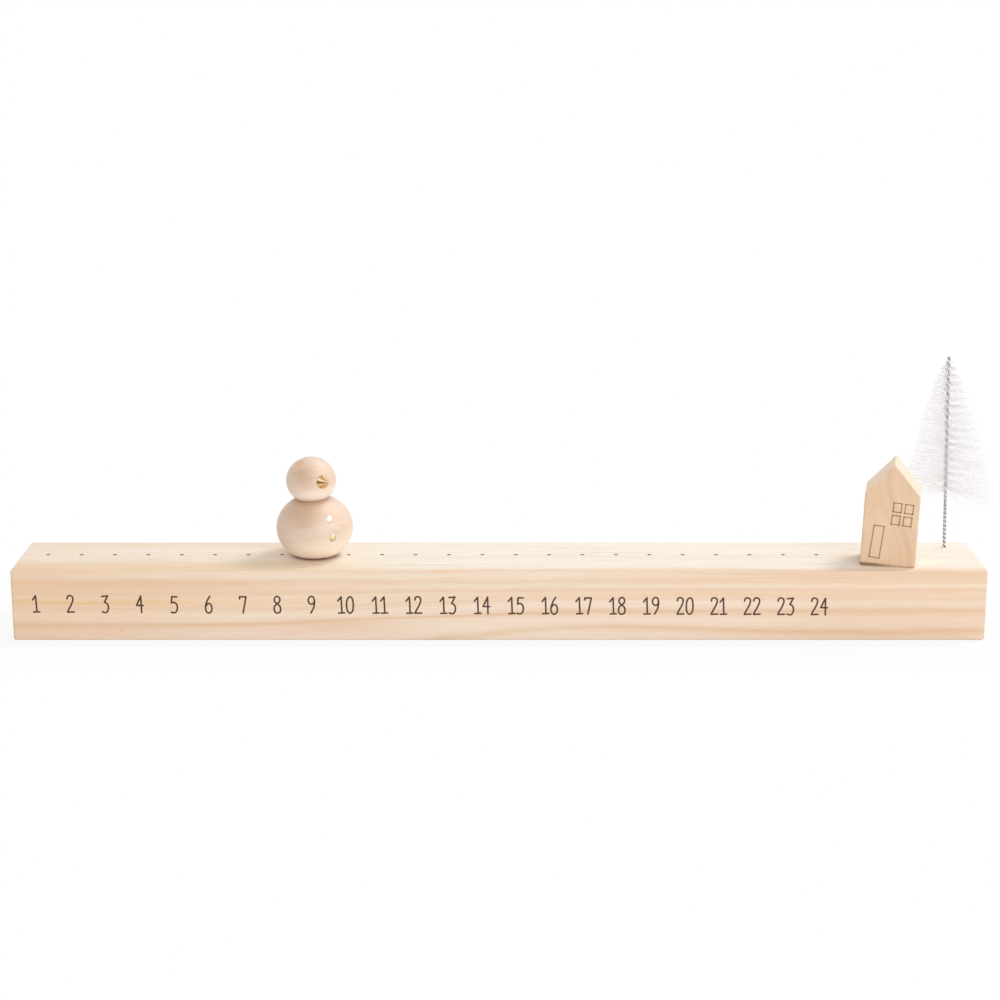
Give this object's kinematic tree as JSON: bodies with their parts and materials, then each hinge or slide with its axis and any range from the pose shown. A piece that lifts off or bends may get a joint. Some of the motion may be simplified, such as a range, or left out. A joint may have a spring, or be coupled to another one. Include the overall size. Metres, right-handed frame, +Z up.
{
  "type": "wooden advent calendar",
  "caption": "Long wooden bar with a row of day holes, a turned two-ball figure on a pin that moves along them, a small block house and a bottle-brush tree.",
  "frame": {"origin": "middle of the bar's flat underside", "axes": "+X along the bar from the first day to the tree, +Y to the back, +Z up"},
  "size_m": [0.4064, 0.0526, 0.1121],
  "materials": {
    "pine": "raw sanded pine",
    "beech": "raw turned beech",
    "dowel_wood": "raw beech dowel",
    "house_wood": "raw sanded pine, engraved",
    "pin_steel": "drawn wire",
    "brass": "polished",
    "wire_steel": "twisted galvanised wire",
    "nylon": "fine white nylon bristles"
  },
  "bodies": {
    "bar": {"base_bar": "pine"},
    "figure_peg": {"figure_pin": "pin_steel"},
    "figure": {"snowman_body": "beech", "snowman_head": "beech", "neck_dowel": "dowel_wood", "nose_cone": "brass", "upper_button": "brass", "lower_button": "brass"},
    "house_peg": {"house_pin": "pin_steel"},
    "house": {"house_block": "house_wood"},
    "tree": {"tree_wire": "wire_steel", "tree_bristles": "nylon"}
  },
  "joints": [
    {"name": "figure_lift", "type": "slide", "parent": "bar", "child": "figure_peg", "axis": [0, 0, 1], "range_m": [0, 0.012]},
    {"name": "figure_turn", "type": "hinge", "parent": "figure_peg", "child": "figure", "pos_m": [-0.077, 0.002, 0.03], "axis": [0, 0, 1], "continuous": true},
    {"name": "house_lift", "type": "slide", "parent": "bar", "child": "house_peg", "axis": [0, 0, 1], "range_m": [0, 0.012]},
    {"name": "house_turn", "type": "hinge", "parent": "house_peg", "child": "house", "pos_m": [0.1614, -0.0076, 0.03], "axis": [0, 0, 1], "continuous": true},
    {"name": "tree_lift", "type": "slide", "parent": "bar", "child": "tree", "axis": [-0.0244, 0, 0.9997], "range_m": [0, 0.012]}
  ]
}
